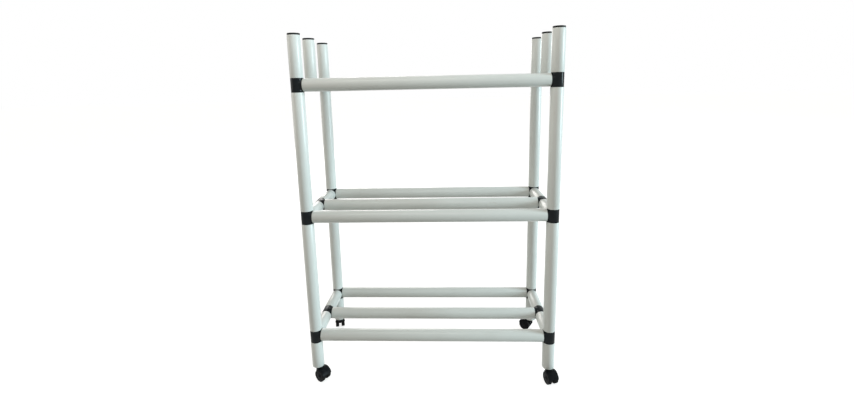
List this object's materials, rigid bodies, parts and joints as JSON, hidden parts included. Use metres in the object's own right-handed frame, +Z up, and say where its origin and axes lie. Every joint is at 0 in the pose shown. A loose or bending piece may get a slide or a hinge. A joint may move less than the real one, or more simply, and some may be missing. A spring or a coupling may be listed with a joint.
{
  "type": "ball storage rack",
  "caption": "Rolling rack of white round pipe with black moulded connectors: open rail shelves for balls, upright posts with end caps, and twin-wheel swivel casters.",
  "frame": {"origin": "on the floor, under the centre of the rack", "axes": "+X to the right and +Y away from someone in front of the rack, +Z up along the posts"},
  "size_m": [1.0548, 0.4854, 1.4405],
  "materials": {
    "white_pipe": "white rigid pipe, semi-gloss",
    "black_fitting": "black moulded plastic, satin",
    "caster_housing": "black moulded plastic, semi-gloss",
    "caster_wheel": "black hard plastic wheel, satin"
  },
  "bodies": {
    "frame": {"front_left_post": "white_pipe", "front_right_post": "white_pipe", "back_right_post": "white_pipe", "back_left_post": "white_pipe", "left_riser": "white_pipe", "right_riser": "white_pipe", "lower_front_rail": "white_pipe", "lower_centre_rail": "white_pipe", "lower_back_rail": "white_pipe", "middle_front_rail": "white_pipe", "middle_centre_rail": "white_pipe", "middle_back_rail": "white_pipe", "upper_front_rail": "white_pipe", "upper_centre_rail": "white_pipe", "upper_back_rail": "white_pipe", "lower_left_side_rail": "white_pipe", "lower_right_side_rail": "white_pipe", "middle_left_side_rail": "white_pipe", "middle_right_side_rail": "white_pipe", "upper_left_side_rail": "white_pipe", "upper_right_side_rail": "white_pipe", "lower_front_left_connector": "black_fitting", "lower_front_right_connector": "black_fitting", "lower_back_right_connector": "black_fitting", "lower_back_left_connector": "black_fitting", "middle_front_left_connector": "black_fitting", "middle_front_right_connector": "black_fitting", "middle_back_right_connector": "black_fitting", "middle_back_left_connector": "black_fitting", "upper_front_left_connector": "black_fitting", "upper_front_right_connector": "black_fitting", "upper_back_right_connector": "black_fitting", "upper_back_left_connector": "black_fitting", "lower_left_side_connector": "black_fitting", "lower_right_side_connector": "black_fitting", "middle_left_side_connector": "black_fitting", "middle_right_side_connector": "black_fitting", "upper_left_side_connector": "black_fitting", "upper_right_side_connector": "black_fitting", "front_left_post_cap": "black_fitting", "front_right_post_cap": "black_fitting", "back_right_post_cap": "black_fitting", "back_left_post_cap": "black_fitting", "left_riser_cap": "black_fitting", "right_riser_cap": "black_fitting"},
    "front_left_caster": {"front_left_caster_housing": "caster_housing"},
    "front_left_left_wheel": {"front_left_caster_left_wheel": "caster_wheel"},
    "front_left_right_wheel": {"front_left_caster_right_wheel": "caster_wheel"},
    "front_right_caster": {"front_right_caster_housing": "caster_housing"},
    "front_right_left_wheel": {"front_right_caster_left_wheel": "caster_wheel"},
    "front_right_right_wheel": {"front_right_caster_right_wheel": "caster_wheel"},
    "back_right_caster": {"back_right_caster_housing": "caster_housing"},
    "back_right_left_wheel": {"back_right_caster_left_wheel": "caster_wheel"},
    "back_right_right_wheel": {"back_right_caster_right_wheel": "caster_wheel"},
    "back_left_caster": {"back_left_caster_housing": "caster_housing"},
    "back_left_left_wheel": {"back_left_caster_left_wheel": "caster_wheel"},
    "back_left_right_wheel": {"back_left_caster_right_wheel": "caster_wheel"}
  },
  "joints": [
    {"name": "front_left_swivel", "type": "hinge", "parent": "frame", "child": "front_left_caster", "pos_m": [-0.491, -0.185, 0.0602], "axis": [0, 0, 1], "continuous": true},
    {"name": "front_left_left_wheel_spin", "type": "hinge", "parent": "front_left_caster", "child": "front_left_left_wheel", "pos_m": [-0.47003, -0.19862, 0.026], "axis": [0.5446, 0.8387, 0], "continuous": true},
    {"name": "front_left_right_wheel_spin", "type": "hinge", "parent": "front_left_caster", "child": "front_left_right_wheel", "pos_m": [-0.47003, -0.19862, 0.026], "axis": [0.5446, 0.8387, 0], "continuous": true},
    {"name": "front_right_swivel", "type": "hinge", "parent": "frame", "child": "front_right_caster", "pos_m": [0.491, -0.185, 0.0602], "axis": [0, 0, 1], "continuous": true},
    {"name": "front_right_left_wheel_spin", "type": "hinge", "parent": "front_right_caster", "child": "front_right_left_wheel", "pos_m": [0.49789, -0.20903, 0.026], "axis": [0.9613, 0.2756, 0], "continuous": true},
    {"name": "front_right_right_wheel_spin", "type": "hinge", "parent": "front_right_caster", "child": "front_right_right_wheel", "pos_m": [0.49789, -0.20903, 0.026], "axis": [0.9613, 0.2756, 0], "continuous": true},
    {"name": "back_right_swivel", "type": "hinge", "parent": "frame", "child": "back_right_caster", "pos_m": [0.491, 0.185, 0.0602], "axis": [0, 0, 1], "continuous": true},
    {"name": "back_right_left_wheel_spin", "type": "hinge", "parent": "back_right_caster", "child": "back_right_left_wheel", "pos_m": [0.47003, 0.19862, 0.026], "axis": [-0.5446, -0.8387, 0], "continuous": true},
    {"name": "back_right_right_wheel_spin", "type": "hinge", "parent": "back_right_caster", "child": "back_right_right_wheel", "pos_m": [0.47003, 0.19862, 0.026], "axis": [-0.5446, -0.8387, 0], "continuous": true},
    {"name": "back_left_swivel", "type": "hinge", "parent": "frame", "child": "back_left_caster", "pos_m": [-0.491, 0.185, 0.0602], "axis": [0, 0, 1], "continuous": true},
    {"name": "back_left_left_wheel_spin", "type": "hinge", "parent": "back_left_caster", "child": "back_left_left_wheel", "pos_m": [-0.49789, 0.20903, 0.026], "axis": [-0.9613, -0.2756, 0], "continuous": true},
    {"name": "back_left_right_wheel_spin", "type": "hinge", "parent": "back_left_caster", "child": "back_left_right_wheel", "pos_m": [-0.49789, 0.20903, 0.026], "axis": [-0.9613, -0.2756, 0], "continuous": true}
  ]
}
